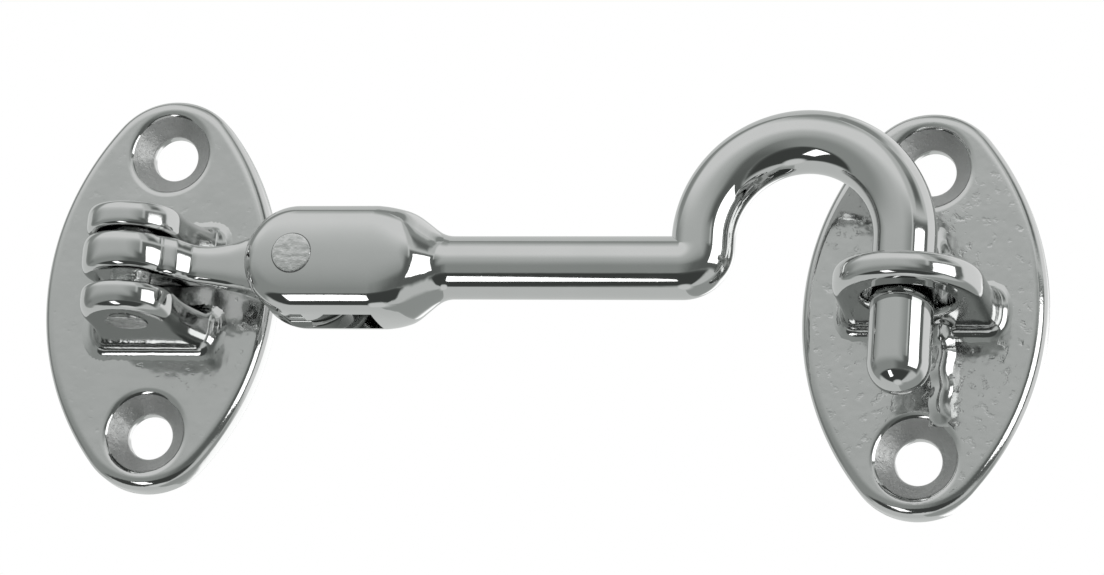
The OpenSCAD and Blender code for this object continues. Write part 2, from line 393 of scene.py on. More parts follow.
@dataclass
class OvalPlate:
    """A pointed oval wall plate with two countersunk screw holes.

    Its outline is two side arcs and two end arcs that meet without a corner.
    """

    centre_x: float = 0.0
    centre_z: float = 0.0
    half_width: float = 12.1
    side_r: float = 28.0
    end_r: float = 7.4
    end_z: float = 13.1
    thickness: float = THICKNESS
    rim_r: float = 1.2
    screw_z: float = 14.7
    hole_r: float = 2.3
    sink_r: float = 4.3
    sink_depth: float = 2.0
    lip_r: float = 1.0
    foot_r: float = 0.6
    back_r: float = 0.25

    def outline(self, inset: float, side: int = 60, end: int = 90) -> np.ndarray:
        """The upper half of the outline, from the right side over the top to the left.

        Side arc: centre (half_width - side_r, 0), radius side_r - inset. End arc: centre
        (0, end_z), radius end_r - inset. Both centres lie on the line where they meet.

        Args:
            inset: Distance inside the plate's edge.
            side: Points on each side arc.
            end: Points on the end arc.

        Returns:
            Array (n, 2) of x and z, x from the plate's middle.
        """
        shift = self.half_width - self.side_r
        meet = math.atan2(self.end_z, -shift)
        low = np.linspace(0.0, meet, side, endpoint=False)
        top = np.linspace(meet, np.pi - meet, end)
        side_r, end_r = self.side_r - inset, self.end_r - inset
        right = np.stack([shift + side_r * np.cos(low), side_r * np.sin(low)], -1)
        tip = np.stack([end_r * np.cos(top), self.end_z + end_r * np.sin(top)], -1)
        return np.concatenate([right, tip, right[::-1] * (-1.0, 1.0)])

    def half_border(self) -> np.ndarray:
        """The border of the upper half's flat face.

        Returns:
            The outline inside the rim, then the middle line back to its start.
        """
        arc = self.outline(self.rim_r)
        line = np.linspace(arc[-1, 0], arc[0, 0], 91)[1:]
        return np.concatenate([arc, np.stack([line, 0.0 * line], -1)])

    def sink_profile(self) -> np.ndarray:
        """The section of a screw hole, from the back to the face.

        Returns:
            Radius and y of the wall, its rounded foot, the 45 degree cone and its rounded lip.
        """
        foot, lip, face = self.foot_r, self.lip_r, -self.thickness
        tan = math.tan(EIGHTH / 2)
        floor = face + self.sink_depth
        wall = np.array([[self.hole_r, 0.0], [self.hole_r, floor * 0.5]])
        up = np.linspace(0.0, EIGHTH, 6)
        foot_r = self.hole_r + foot * (1 - np.cos(up))
        start = np.stack([foot_r, floor + foot * tan - foot * np.sin(up)], -1)
        over = np.linspace(EIGHTH, 0.0, 10)
        lip_r = self.sink_r + lip * tan - lip * np.sin(over)
        end = np.stack([lip_r, face + lip * (1 - np.cos(over))], -1)
        cone = np.linspace(start[-1], end[0], 9)[1:-1]
        return np.concatenate([wall, start, cone, end])

    def finishes(self, mesh: bpy.types.Mesh) -> np.ndarray:
        """Which finish each face of a casting takes.

        Args:
            mesh: The casting's mesh, in metres.

        Returns:
            A Skin number for each face: cones for the countersinks, flats for face and back.
        """
        slack = 0.05
        x, y, z = face_centres(mesh)
        height = y + self.thickness
        from_screw = np.hypot(x - self.centre_x, np.abs(z - self.centre_z) - self.screw_z)
        sunk = (height > 0.3 * self.lip_r) & (height < self.sink_depth - slack)
        flat = (np.abs(height) < 10 * WELD) | (y > -10 * WELD)
        return Skin.CONE * ((from_screw < self.sink_r + slack) & sunk) + Skin.FLAT * flat

    def shell(self) -> list[Patch]:
        """The plate's patches.

        The face is ruled from each screw hole to the border of its half, so that both
        halves share the middle line; a swept strip makes rim, edge and back.

        Returns:
            The patches of a closed shell.
        """
        border = self.half_border()
        from_hole = border - (0.0, self.screw_z)
        way = from_hole / np.linalg.norm(from_hole, axis=1, keepdims=True)
        sink = self.sink_profile()
        ring = way[:, None] * sink[None, :, :1] + (0.0, self.screw_z)
        part = np.linspace(0.0, 1.0, 9)[1:, None]
        reach = ring[:, -1:] + (border[:, None] - ring[:, -1:]) * part
        flat = np.concatenate([ring, reach], 1)
        y = np.concatenate([sink[:, 1], np.full(len(part), -self.thickness)])
        face = np.stack([flat[..., 0], np.broadcast_to(y, flat.shape[:2]), flat[..., 1]], -1)
        back = np.stack([ring[:, 0], border], 1)
        back = np.stack([back[..., 0], 0.0 * back[..., 0], back[..., 1]], -1)
        turn = np.linspace(0.0, QUARTER, 13)
        short, rim_r, back_r = turn[::3], self.rim_r, self.back_r
        inset = np.concatenate([rim_r * (1 - np.sin(turn)), back_r * (1 - np.cos(short)), [rim_r]])
        rise = rim_r * (1 - np.cos(turn)) - self.thickness
        depth = np.concatenate([rise, back_r * np.sin(short) - back_r, [0.0]])
        strips = np.stack([self.outline(i) for i in inset], 1)
        rim = np.stack([strips[..., 0], np.broadcast_to(depth, strips.shape[:2]), strips[..., 1]], -1)
        patches = []
        for points in (face, back, rim):
            patches += [Patch(points), Patch(points * (1.0, 1.0, -1.0))]
        for patch in patches:
            patch.points = patch.points + (self.centre_x, 0.0, self.centre_z)
        return patches


@dataclass
class Lug:
    """An ear or eye that stands on a plate and flares into it.

    Seen along Z it is a round nose on two flanks. Its two faces have draft: each runs
    straight from its height at the nose to its height at the plate.

    Attributes:
        centre_x: Its middle, in millimetres like every other length.
        nose_r: Radius of the nose.
        nose_span: Lower and upper z at the nose's tip.
        foot_span: The same at the plate.
        edge_r: How far the rounding of its edge reaches in.
        foot_half: Half its width at the plate.
        flare_from: The y where its flanks begin to spread.
        powers: Powers of the edge's superellipse, above and below its widest line.
        widest: Where that line lies, from -1 at the lower face to 1 at the upper.
        plate_y: The plate's face.
        cove_r: Radius of the cove at its foot.
        hole_r: Radius of a hole about the arm's line, or 0.
        hole_edge: How far the rounding of the hole's edge reaches.
        root: How far it goes on inside the plate.
        bore_steps: Columns of the rounding of the hole's edge.
        face_steps: Columns from there to the rounding of the outer edge.
    """

    centre_x: float
    nose_r: float
    nose_span: tuple[float, float]
    foot_span: tuple[float, float]
    edge_r: float
    foot_half: float
    flare_from: float
    powers: tuple[float, float] = (3.0, 3.0)
    widest: float = 0.0
    plate_y: float = -THICKNESS
    cove_r: float = 1.2
    hole_r: float = 0.0
    hole_edge: float = 0.55
    root: float = 0.06
    bore_steps: int = 12
    face_steps: int = 9

    def flank(self, y: np.ndarray) -> np.ndarray:
        """Half-width at y: the nose's radius, then a parabola out to the foot."""
        t = np.clip((y - self.flare_from) / (self.plate_y - self.flare_from), 0.0, None)
        return self.nose_r + (self.foot_half - self.nose_r) * t * t

    def border(self) -> tuple[np.ndarray, np.ndarray, np.ndarray]:
        """The outline seen along Z: up one flank, round the nose, down the other.

        Returns:
            Points (n, 2) of x and y, outward directions (n, 2), and the y on the middle
            line that each row of the side faces starts from.
        """
        drop = self.plate_y + self.root - AXIS_Y
        crowded = np.linspace(0.0, 1.0, 60, endpoint=False) ** 1.5
        y = AXIS_Y + drop * (1.0 - crowded)
        wide = self.flank(y)
        slope = np.gradient(wide, y)
        tilt = np.stack([np.ones_like(slope), -slope], -1) / np.hypot(1.0, slope)[:, None]
        turn = np.linspace(0.0, np.pi, 91)
        nose_n = np.stack([-np.cos(turn), -np.sin(turn)], -1)
        right = np.stack([wide, y], -1)
        path = np.concatenate([right * (-1.0, 1.0), (0.0, AXIS_Y) + nose_n * self.nose_r, right[::-1]])
        out = np.concatenate([tilt * (-1.0, 1.0), nose_n, tilt[::-1]])
        return path, out, np.concatenate([y, np.full(len(turn), AXIS_Y), y[::-1]])

    def side_face(self, path: np.ndarray, out: np.ndarray, height: np.ndarray) -> tuple[np.ndarray, ...]:
        """The columns of one side face, from the bore or the middle line towards the edge.

        The bore's edge is a quarter of a superellipse of power 3 about the hole's axis.

        Args:
            path: The outline.
            out: Its outward directions.
            height: Each row's y on the middle line.

        Returns:
            Points (n, columns, 2), the share of the half-thickness of each column, and
            True for the rows past the hole, whose bore columns are left out.
        """
        skeleton = path - self.edge_r * out
        past = np.ones(len(path), bool)
        start = np.stack([0.0 * height, height], -1)
        bore, share = start[:, None][:, :0], np.zeros(0)
        if self.hole_r:
            rest = self.hole_r + self.hole_edge
            rel = np.clip((height - AXIS_Y) / rest, 0.0, 1.0)
            on_nose = height <= AXIS_Y + 1e-9
            side = np.where(path[:, 0] < 0, -1.0, 1.0)
            beside = np.arctan2(rel, side * np.sqrt(1.0 - rel * rel))
            angle = np.where(on_nose, np.arctan2(out[:, 1], out[:, 0]), beside)
            way = np.stack([np.cos(angle), np.sin(angle)], -1)
            past = height > AXIS_Y + rest
            start = np.where(past[:, None], start, (0.0, AXIS_Y) + rest * way)
            gamma = np.linspace(0.0, QUARTER, self.bore_steps + 1)[:-1]
            size = superellipse(gamma, 3.0)
            bore = start[:, None] - (self.hole_edge * size * np.cos(gamma))[None, :, None] * way[:, None]
            bore = np.where(past[:, None, None], start[:, None], bore)
            share = size * np.sin(gamma)
        part = np.linspace(0.0, 1.0, self.face_steps + 1)[None, :-1, None]
        face = start[:, None] + (skeleton - start)[:, None] * part
        return np.concatenate([bore, face], 1), np.concatenate([share, np.ones(self.face_steps)]), past

    def shell(self) -> list[Patch]:
        """The lug's skin.

        Columns run from the middle of one side face over the edge, two quarters of
        superellipses, to the middle of the other. Below cove_r over the plate the skin
        moves out by r - sqrt(r^2 - (r - h)^2), the section of a cove.

        Returns:
            One patch, open only inside the plate.
        """
        path, out, height = self.border()
        face, share, past = self.side_face(path, out, height)
        beta = np.linspace(QUARTER, -QUARTER, 41)
        size = superellipse(beta, np.where(beta > 0, *self.powers))
        inset = self.edge_r * (1.0 - size * np.cos(beta))
        edge = path[:, None] - inset[None, :, None] * out[:, None]
        flat = np.concatenate([face, edge, face[:, ::-1]], 1)
        reach = np.where(beta > 0, 1.0 - self.widest, 1.0 + self.widest)
        share = np.concatenate([share, self.widest + reach * size * np.sin(beta), -share[::-1]])
        up = np.concatenate([share[:face.shape[1]], np.sin(beta), share[-face.shape[1]:]])
        aside = np.zeros_like(up)
        aside[face.shape[1]:-face.shape[1]] = np.cos(beta)
        above = np.clip(self.plate_y - flat[..., 1], 0.0, self.cove_r)
        push = self.cove_r - np.sqrt(np.clip(self.cove_r ** 2 - (self.cove_r - above) ** 2, 0.0, None))
        tip = AXIS_Y - self.nose_r
        along = np.clip((flat[..., 1] - tip) / (self.plate_y - tip), 0.0, 1.0)
        low, high = (a + (b - a) * along for a, b in zip(self.nose_span, self.foot_span))
        z = (low + high) / 2 + (high - low) / 2 * share + push * up
        x = flat[..., 0] + push * aside * np.where(path[:, :1] < 0, -1.0, 1.0)
        keep = np.ones((len(path) - 1, len(share) - 1), bool)
        if self.hole_r:
            keep[past[:-1] & past[1:], :self.bore_steps] = False
            keep[past[:-1] & past[1:], -self.bore_steps:] = False
        return [Patch(np.stack([x + self.centre_x, flat[..., 1], z], -1), keep)]


@dataclass
class Rib:
    """A low gusset on a plate, running along Z away from an eye.

    Attributes:
        centre_x: Its middle, in millimetres like every other length.
        half_width: Half its width where it is highest.
        stations: Pairs of z and height along its crest.
        plate_y: The plate's face.
        root: How far it goes on inside the plate.
        waves: Share, radians per millimetre and phase of each unevenness of its height.
        sway: Millimetres, radians per millimetre and phase of its middle's swing.
    """

    centre_x: float
    half_width: float
    stations: tuple[tuple[float, float], ...]
    plate_y: float = -THICKNESS
    root: float = 0.04
    waves: tuple[tuple[float, float, float], ...] = ((0.07, 1.6, 0.0), (0.04, 3.1, 1.0))
    sway: tuple[float, float, float] = (0.12, 1.9, 0.6)

    def shell(self) -> list[Patch]:
        """The rib's skin: a rounded ridge whose height follows the stations.

        Across, the height is crest * (1 - |s|^1.7)^1.2 with s from -1 to 1; along, the
        crest is an eased curve through the stations, made uneven by the waves. Towards its
        low ends the rib narrows to three quarters of its width.

        Returns:
            One patch whose border lies just under the plate's face.
        """
        z = np.linspace(self.stations[0][0], self.stations[-1][0], 60)
        uneven = 1.0 + sum(share * np.sin(pace * z + phase) for share, pace, phase in self.waves)
        crest = ease_line(z, self.stations) * uneven
        s = np.linspace(-1.0, 1.0, 31)
        lift = crest[:, None] * (1.0 - np.abs(s) ** 1.7)[None] ** 1.2
        wide = self.half_width * (0.75 + 0.25 * crest / crest.max())
        swing, pace, phase = self.sway
        x = self.centre_x + wide[:, None] * s + swing * np.sin(pace * z[:, None] + phase)
        y = self.plate_y + self.root - lift
        return [Patch(np.stack([x, y, np.broadcast_to(z[:, None], x.shape)], -1))]


@dataclass(frozen=True)
class Ear:
    """What sets one ear apart from the other, as the fields of the same names of Lug."""

    nose_span: tuple[float, float]
    foot_span: tuple[float, float]
    powers: tuple[float, float]
    widest: float


@dataclass
class HingePlate:
    """The cast plate with two ears, and the pin through them."""

    plate: OvalPlate = field(default_factory=OvalPlate)
    ear_r: float = 4.8
    ear_edge: float = 1.25
    upper_ear: Ear = Ear((3.1, 5.75), (2.7, 6.25), (3.2, 3.8), -0.2)
    lower_ear: Ear = Ear((-5.35, -2.45), (-6.15, -2.45), (3.6, 2.3), 0.2)
    foot_half: float = 6.5
    flare_from: float = -9.6
    pin_r: float = 2.0
    pin_half: float = 5.85
    head_r: float = 2.15
    head_edge: float = 0.12
    shank_end: float = 5.62

    def build_casting(self) -> None:
        """The plate and its ears as one piece."""
        shells = [self.plate.shell()]
        for ear in (self.upper_ear, self.lower_ear):
            lug = Lug(
                centre_x=self.plate.centre_x, nose_r=self.ear_r, nose_span=ear.nose_span,
                foot_span=ear.foot_span, edge_r=self.ear_edge, foot_half=self.foot_half,
                flare_from=self.flare_from, powers=ear.powers, widest=ear.widest,
            )
            shells.append(lug.shell())
        piece = build_piece("hinge_casting", shells)
        which = self.plate.finishes(piece.data)
        hand_in(piece, "hinge", "hinge_plate", (CAST, MACHINED_SHADED, RUBBED), which)

    def build_pin(self) -> None:
        """The pin, its ends hammered to shallow domes that fall as the 6th power of radius."""
        head = np.linspace(0.0, self.head_r, 26)
        shank = np.linspace(self.shank_end, 0.2, 6)
        r = np.concatenate([head, np.full(len(shank), self.pin_r)])
        h = np.concatenate([self.pin_half - self.head_edge * (head / self.head_r) ** 6, shank])
        piece = build_piece("hinge_pin_rod", [[revolve(r, h, (self.plate.centre_x, AXIS_Y, 0.0), Axis.Z)]])
        hand_in(piece, "hinge", "hinge_pin", (HAMMERED,))

    def build(self) -> None:
        """Both pieces."""
        self.build_casting()
        self.build_pin()


@dataclass
class SwivelLink:
    """The link: a barrel eye on the pin, a waist, and a flat tongue in the fork.

    Attributes:
        eye_r: Radius of the eye, in millimetres like every other length.
        tongue_r: Radius of the tongue's end.
        arm_x: Where the arm's flanks leave the eye.
        eye_turn: Degrees past straight ahead at which they do.
        tongue_x: Where the tongue's flat faces begin.
        disc_x: From here on the tongue is at least as high as its disc, up to disc_half.
        disc_half: The greatest half-height that the disc asks for left of its middle.
        eye_edge: Reach of the rounding of the eye's edge.
        arm_edge: Greatest reach of the rounding of the arm's edge.
        edge_power: Power of the edge's superellipse.
        depths: Pairs of x and half-thickness: shoulder, ramp, waist, tongue.
        heights: Pairs of x and half-height: eye, waist, tongue.
        rise: Pairs of x and the middle's height: the eye stands up against the upper ear.
    """

    eye_r: float = 5.0
    tongue_r: float = 5.1
    arm_x: float = 3.94
    eye_turn: float = 52.0
    tongue_x: float = 13.5
    disc_x: float = 15.0
    disc_half: float = 4.6
    eye_edge: float = 1.5
    arm_edge: float = 1.2
    edge_power: float = 3.3
    depths: tuple[tuple[float, float], ...] = (
        (3.94, 3.08), (4.3, 2.92), (4.9, 2.84), (5.4, 2.72), (6.2, 2.1), (6.9, 1.62), (7.5, 1.5),
        (8.2, 1.5), (10.4, 1.56), (12.2, 2.05), (13.3, 2.35), (23.2, 2.35),
    )
    heights: tuple[tuple[float, float], ...] = (
        (2.6, 2.0), (5.0, 1.98), (6.8, 1.9), (8.2, 1.93), (10.5, 2.25), (13.0, 2.85), (15.55, 3.9),
        (17.0, 4.6),
    )
    rise: tuple[tuple[float, float], ...] = ((1.5, 0.75), (9.5, 0.0), (23.2, 0.0))

    def half_height(self, x: np.ndarray) -> np.ndarray:
        """Half-height along the arm: the curve through heights, then the tongue's disc.

        Args:
            x: Places along the arm.

        Returns:
            The half-height at each.
        """
        disc = np.sqrt(np.clip(self.tongue_r ** 2 - (x - PITCH) ** 2, 1e-6, None))
        least = np.where(x > self.disc_x, np.minimum(disc, self.disc_half), 0.0)
        body = np.minimum(np.maximum(ease_line(x, self.heights), least), self.tongue_r)
        return np.where(x > PITCH, disc, body)

    def border(self) -> tuple[np.ndarray, np.ndarray, np.ndarray]:
        """The outline seen from above: from the tongue's end along the front, round the eye, back.

        Returns:
            Points (n, 2) of x and y from the arm's line, outward directions (n, 2), and the
            x on the middle line that each row starts from.
        """
        turn = np.linspace(0.0, QUARTER, 40)
        x = np.concatenate([
            np.linspace(self.arm_x, self.tongue_x, 150),
            np.linspace(self.tongue_x, PITCH, 24)[1:],
            PITCH + self.tongue_r * np.sin(turn)[1:],
        ])
        depth = ease_line(x, self.depths)
        slope = np.gradient(depth, np.maximum.accumulate(x + np.arange(len(x)) * 1e-9))
        slope[-len(turn):] = 0.0
        tilt = np.stack([-slope, -np.ones_like(slope)], -1) / np.hypot(1.0, slope)[:, None]
        arm = np.stack([x, -depth], -1)
        alpha = np.radians(np.linspace(self.eye_turn, -180.0 - self.eye_turn, 190))[1:-1]
        nose_n = np.stack([np.sin(alpha), -np.cos(alpha)], -1)
        path = np.concatenate([arm[::-1], self.eye_r * nose_n, arm * (1.0, -1.0)])
        out = np.concatenate([tilt[::-1], nose_n, tilt * (1.0, -1.0)])
        return path, out, np.concatenate([x[::-1], np.zeros(len(alpha)), x])

    def build(self) -> None:
        """The link's skin.

        Columns run from the middle line of the top over the edge to the middle line of the
        underside. Near the eye the middle line draws in to the pin's axis. Along the arm the
        rounding reaches in by three quarters of the half-thickness and 0.3 mm, up to arm_edge.
        """
        path, out, row_x = self.border()
        past_eye, fade_from, fade_over, columns = 12, 3.5, 1.5, 8
        on_eye = np.count_nonzero(row_x == 0.0)
        by_eye = np.abs(np.arange(len(path)) - len(path) / 2) < on_eye / 2 + past_eye
        spine_x = np.where(by_eye, row_x * smooth((row_x - fade_from) / fade_over), row_x)
        thin = np.minimum(self.arm_edge, 0.75 * np.abs(path[:, 1]) + 0.3)
        edge = np.where(row_x > 0.0, thin, self.eye_edge)
        beta = np.linspace(QUARTER, -QUARTER, 31)
        size = superellipse(beta, self.edge_power)
        skeleton = path - edge[:, None] * out
        rounding = skeleton[:, None] + (edge[:, None] * size * np.cos(beta))[..., None] * out[:, None]
        spine = np.stack([spine_x, 0.0 * spine_x], -1)
        part = np.linspace(0.0, 1.0, columns + 1)[None, :-1, None]
        face = spine[:, None] + (skeleton - spine)[:, None] * part
        flat = np.concatenate([face, rounding, face[:, ::-1]], 1)
        share = np.concatenate([np.ones(columns), size * np.sin(beta), -np.ones(columns)])
        middle = ease_line(flat[..., 0], self.rise)
        z = share[None] * self.half_height(np.maximum(flat[..., 0], 0.0)) + middle
        points = np.stack([flat[..., 0], flat[..., 1] + AXIS_Y, z], -1)
        piece = build_piece("swivel_link_casting", [[Patch(points)]])
        hand_in(piece, "link", "swivel_link", (POLISHED,))


def stations(*columns: np.ndarray | float) -> np.ndarray:
    """Stations as rows, from one array or one number for each column."""
    return np.stack(np.broadcast_arrays(*columns), -1)


@dataclass
class HookArm:
    """The forged arm: fork, shoulder, rod, bend, arch and leg in one sweep.

    Attributes:
        half_depth: Half the fork's thickness, across the arm, in millimetres like every
            other length.
        half_height: Half the fork's height.
        edge_r: Radius of its long edges.
        corner_r: Radius of the circle that cuts its section, also about the rivet's axis.
        slot_half: Half the slot's width.
        slot_end: Where the slot ends, from the rivet's axis.
        rod_r: Radius of the rod.
        rod_x: Where the rod begins.
        bend_x: Where the sharp bend begins.
        bend_z: Its radius along the middle line.
        arch_x: The arch's centre along the arm.
        arch_z: The same, over the arm's line.
        arch_r: Radius of the arch's middle line.
        tip_z: Where the leg's round end begins.
        tip_h: Its height.
        power: How sharply the fork's rectangle and circle meet.
        head_y: From the arm's line to the rivet's head.
        crown: How much lower the fork's faces are at their long edges.
        head_r: Radius of the rivet's dome.
        head_edge: How much lower the dome is at its edge.
        shank: Pairs of radius and depth under the head, down the rivet's side.
        shade_ring_r: From here outwards the rivet takes a dark chrome, painted shade of the groove round
            its head.
        shoulder_end: Where the shoulder's rings end, from the rivet's axis.
        shoulder: Pairs of distance from the rivet's axis and the circle's radius.
    """

    half_depth: float = 5.3
    half_height: float = 5.7
    edge_r: float = 1.95
    corner_r: float = 7.0
    slot_half: float = 2.6
    slot_end: float = 7.8
    rod_r: float = 3.105
    rod_x: float = 34.4
    bend_x: float = 56.2
    bend_z: float = 1.9
    arch_x: float = 68.0
    arch_z: float = 2.9
    arch_r: float = 9.9
    tip_z: float = -9.4
    tip_h: float = 3.1
    power: float = 9.0
    head_y: float = 5.42
    crown: float = 0.5
    head_r: float = 1.85
    head_edge: float = 0.07
    shank: tuple[tuple[float, float], ...] = (
        (1.94, 0.1), (2.01, 0.16), (2.05, 0.26), (2.0, 0.7), (2.0, 5.2),
    )
    shade_ring_r: float = 1.9
    shoulder_end: float = 15.4
    shoulder: tuple[tuple[float, float], ...] = (
        (8.6, 6.82), (9.2, 6.62), (9.8, 6.36), (10.3, 6.12), (10.8, 5.86), (11.3, 5.5), (11.8, 5.08),
        (12.3, 4.64), (12.9, 4.14), (13.5, 3.68), (14.1, 3.34), (14.7, 3.16), (15.2, 3.11),
    )

    def section(self) -> np.ndarray:
        """The directions in which a ring's points lie.

        Returns:
            Angles round the section from straight up, the slot's edges among them.
        """
        edge = math.atan2(self.slot_half, self.half_height)
        quarter = np.concatenate([np.linspace(0.0, edge, 9)[:-1], np.linspace(edge, QUARTER, 41)])
        half = np.concatenate([quarter, np.pi - quarter[::-1][1:]])
        return np.concatenate([half, half[1:] + np.pi])

    def ring(self, angle: np.ndarray, radius: np.ndarray) -> tuple[np.ndarray, np.ndarray]:
        """A rectangle with round corners, cut by a circle.

        With C a corner's centre and u the direction, the rectangle's reach is the least
        of depth / |sin| and height / |cos|, or u.C + sqrt((u.C)^2 - C^2 + corner^2) where
        u points into the corner. Circle and rectangle meet softly, by (a^-p + b^-p)^(-1/p).
        The faces are crowned: the reach across falls by the share crown / half depth times
        (reach up / half height)^2 * sin^2.

        Args:
            angle: Angles from straight up.
            radius: The circle's radius.

        Returns:
            The reach across and the reach up.
        """
        s, c = np.abs(np.sin(angle)), np.abs(np.cos(angle))
        a, b = self.half_depth - self.edge_r, self.half_height - self.edge_r
        flat = np.minimum(self.half_depth / np.maximum(s, 1e-9), self.half_height / np.maximum(c, 1e-9))
        into = s * a + c * b
        corner = into + np.sqrt(np.maximum(into ** 2 - a ** 2 - b ** 2 + self.edge_r ** 2, 0.0))
        in_corner = (flat * s > a) & (flat * c > b)
        reach = np.where(in_corner, corner, flat)
        p = self.power
        reach = (radius ** -p + reach ** -p) ** (-1 / p)
        across, up = reach * np.sin(angle), reach * np.cos(angle)
        return across * (1.0 - self.crown / self.half_depth * (up / self.half_height * s) ** 2), up

    def line(self) -> tuple[np.ndarray, ...]:
        """The rings from the slot's end to the tip: shoulder, rod, bend, arch, leg, round end.

        Returns:
            Centre x and z, the section's up direction (x, z) and its circle's radius.
        """
        hair = 1e-5
        d = np.linspace(self.slot_end, self.shoulder_end, 90)
        cut = ease_line(d, ((self.slot_end, self.corner_r), *self.shoulder))
        a = np.linspace(0.0, QUARTER, 31)
        b = np.linspace(np.pi, 0.0, 121)[1:]
        c = np.linspace(0.0, QUARTER - hair, 25)
        end = self.arch_x + self.arch_r
        bend = self.bend_x + self.bend_z * np.sin(a), self.bend_z * (1 - np.cos(a))
        arch = self.arch_x + self.arch_r * np.cos(b), self.arch_z + self.arch_r * np.sin(b)
        runs = [
            stations(PITCH + d, 0.0, 0.0, 1.0, cut),
            stations(np.linspace(self.rod_x, self.bend_x, 16)[:-1], 0.0, 0.0, 1.0, self.rod_r),
            stations(*bend, -np.sin(a), np.cos(a), self.rod_r),
            stations(*arch, np.cos(b), np.sin(b), self.rod_r),
            stations(end, np.linspace(self.arch_z, self.tip_z, 16)[1:-1], 1.0, 0.0, self.rod_r),
            stations(end, self.tip_z - self.tip_h * np.sin(c), 1.0, 0.0, self.rod_r * np.cos(c)),
        ]
        return tuple(np.concatenate(runs).T)

    def fork(self) -> list[Patch]:
        """The cheeks round the rivet, and the slot's walls.

        The cheeks turn the ring's section about the rivet's axis and run it straight to the
        slot's end. Flat walls close the slot.

        Returns:
            The patches that join the first ring.
        """
        angle = self.section()
        edge = math.atan2(self.slot_half, self.half_height)
        cheek = angle[(angle >= edge - 1e-9) & (angle <= QUARTER + 1e-9)]
        run = np.linspace(self.slot_end, 0.0, 13)
        psi = np.linspace(0.0, np.pi, 91)[1:-1]
        spine = np.concatenate([run, 0.0 * psi, run[::-1]])[:, None] + PITCH
        turned = np.concatenate([0.0 * run, psi, np.pi + 0.0 * run])[:, None]
        across, up = self.ring(cheek, np.array(self.corner_r))
        x, z = spine - np.sin(turned) * up, np.cos(turned) * up
        share = np.linspace(1.0, 0.0, 8)
        wall_x, wall_z = spine + (x[:, :1] - spine) * share, z[:, :1] * share
        patches = []
        for side in (-1.0, 1.0):
            patches.append(Patch(np.stack([x, AXIS_Y + side * across + 0.0 * x, z], -1)))
            patches.append(Patch(np.stack([wall_x, AXIS_Y + side * across[0] + 0.0 * wall_x, wall_z], -1)))
        top = angle[angle <= edge + 1e-9]
        across, up = self.ring(np.concatenate([-top[::-1][:-1], top]), np.array(self.corner_r))
        end_z = up[None] * np.linspace(1.0, -1.0, 15)[:, None]
        end_x = np.full_like(end_z, PITCH + self.slot_end)
        patches.append(Patch(np.stack([end_x, np.broadcast_to(AXIS_Y - across, end_z.shape), end_z], -1)))
        return patches

    def build_arm(self) -> None:
        """The arm's skin: the fork, and right of it rings that stand across the arm's line."""
        cx, cz, ux, uz, radius = (column[:, None] for column in self.line())
        across, up = self.ring(self.section()[None], radius)
        sweep = Patch(np.stack([cx + ux * up, AXIS_Y - across, cz + uz * up], -1))
        piece = build_piece("hook_arm_forging", [[sweep, *self.fork()]])
        hand_in(piece, "hook", "hook_arm", (POLISHED,))

    def build_rivet(self) -> None:
        """The rivet, with its hammered heads flush in a shallow ring that is painted dark as shade."""
        dome = np.linspace(0.0, self.head_r, 22)
        side_r, depth = np.array(self.shank).T
        r = np.concatenate([dome, side_r])
        h = np.concatenate([self.head_y - self.head_edge * (dome / self.head_r) ** 4, self.head_y - depth])
        piece = build_piece("fork_rivet_pin", [[revolve(r, h, (PITCH, AXIS_Y, 0.0), Axis.Y)]])
        x, _, z = face_centres(piece.data)
        # Faces outside the head's rim take the dark chrome, painted shade round the rivet's head.
        shaded_ring = np.hypot(x - PITCH, z) > self.shade_ring_r
        hand_in(piece, "hook", "fork_rivet", (HAMMERED, RIVET_RING_SHADE), shaded_ring)

    def build(self) -> None:
        """Both pieces."""
        self.build_arm()
        self.build_rivet()


@dataclass
class KeeperPlate:
    """The cast plate with the eye that takes the hook, and its two ribs."""

    plate: OvalPlate = field(default_factory=lambda: OvalPlate(centre_x=78.45, centre_z=-1.8))
    eye_r: float = 7.35
    eye_nose: tuple[float, float] = (-2.75, -0.05)
    eye_foot: tuple[float, float] = (-3.8, 0.2)
    eye_edge: float = 1.45
    eye_foot_half: float = 7.7
    eye_powers: tuple[float, float] = (2.5, 3.0)
    hole_r: float = 4.4
    upper_rib: tuple[tuple[float, float], ...] = ((-1.4, 2.2), (0.4, 1.9), (7.3, 0.02))
    lower_rib: tuple[tuple[float, float], ...] = ((-13.4, 0.02), (-12.2, 0.3), (-5.4, 0.72), (-3.2, 2.1))
    upper_aside: float = 1.3
    lower_aside: float = 2.2
    upper_half: float = 1.2
    lower_half: float = 1.5

    def build(self) -> None:
        """The plate, eye and ribs as one piece."""
        middle = self.plate.centre_x
        eye = Lug(
            centre_x=middle, nose_r=self.eye_r, nose_span=self.eye_nose, foot_span=self.eye_foot,
            edge_r=self.eye_edge, foot_half=self.eye_foot_half, flare_from=AXIS_Y,
            powers=self.eye_powers, hole_r=self.hole_r,
        )
        upper = Rib(middle + self.upper_aside, self.upper_half, self.upper_rib)
        lower = Rib(middle + self.lower_aside, self.lower_half, self.lower_rib)
        shells = [form.shell() for form in (self.plate, eye, upper, lower)]
        piece = build_piece("keeper_casting", shells)
        which = self.plate.finishes(piece.data)
        hand_in(piece, "keeper", "keeper_plate", (CAST, MACHINED_SHADED, PITTED), which)


@dataclass(frozen=True)
class Panel:
    """An area of the room's walls.

    Attributes:
        west: Azimuth where it starts, in degrees.
        east: Azimuth where it ends.
        low: Elevation where it starts.
        high: Elevation where it ends.
        level: Its brightness.
        soft: Width of the fade at its sides, in degrees.
        fade: Width of the fade at its top and bottom.
    """

    west: float
    east: float
    low: float
    high: float
    level: float
    soft: float = 7.0
    fade: float = 7.0


